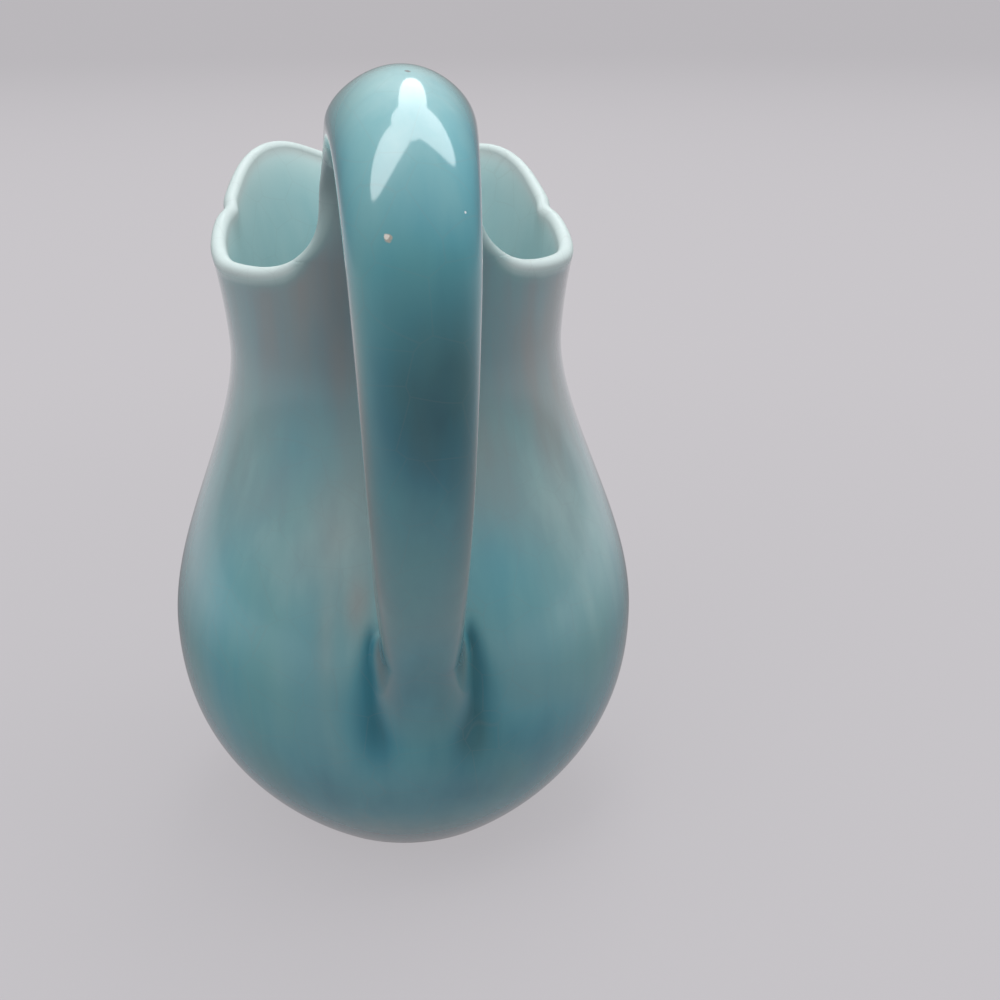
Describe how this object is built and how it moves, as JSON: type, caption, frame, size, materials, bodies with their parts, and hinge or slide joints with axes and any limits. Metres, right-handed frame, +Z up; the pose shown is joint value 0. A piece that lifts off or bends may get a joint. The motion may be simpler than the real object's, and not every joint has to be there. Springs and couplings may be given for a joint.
{
  "type": "creamer",
  "caption": "Small turquoise glazed earthenware creamer with a pear-shaped body, a pinched mouth with a pouring lip, and a strap handle arching over the rim.",
  "frame": {"origin": "centre of the flat foot that the creamer stands on", "axes": "+Z up, +Y towards the pouring lip, so the handle is at -Y, and +X to the right seen from the handle"},
  "size_m": [0.0728, 0.0954, 0.1208],
  "materials": {
    "turquoise_glaze": "gloss"
  },
  "bodies": {
    "root": {"body": "turquoise_glaze", "handle": "turquoise_glaze", "upper_luting_slip": "turquoise_glaze", "lower_luting_fillet": "turquoise_glaze"}
  },
  "joints": []
}
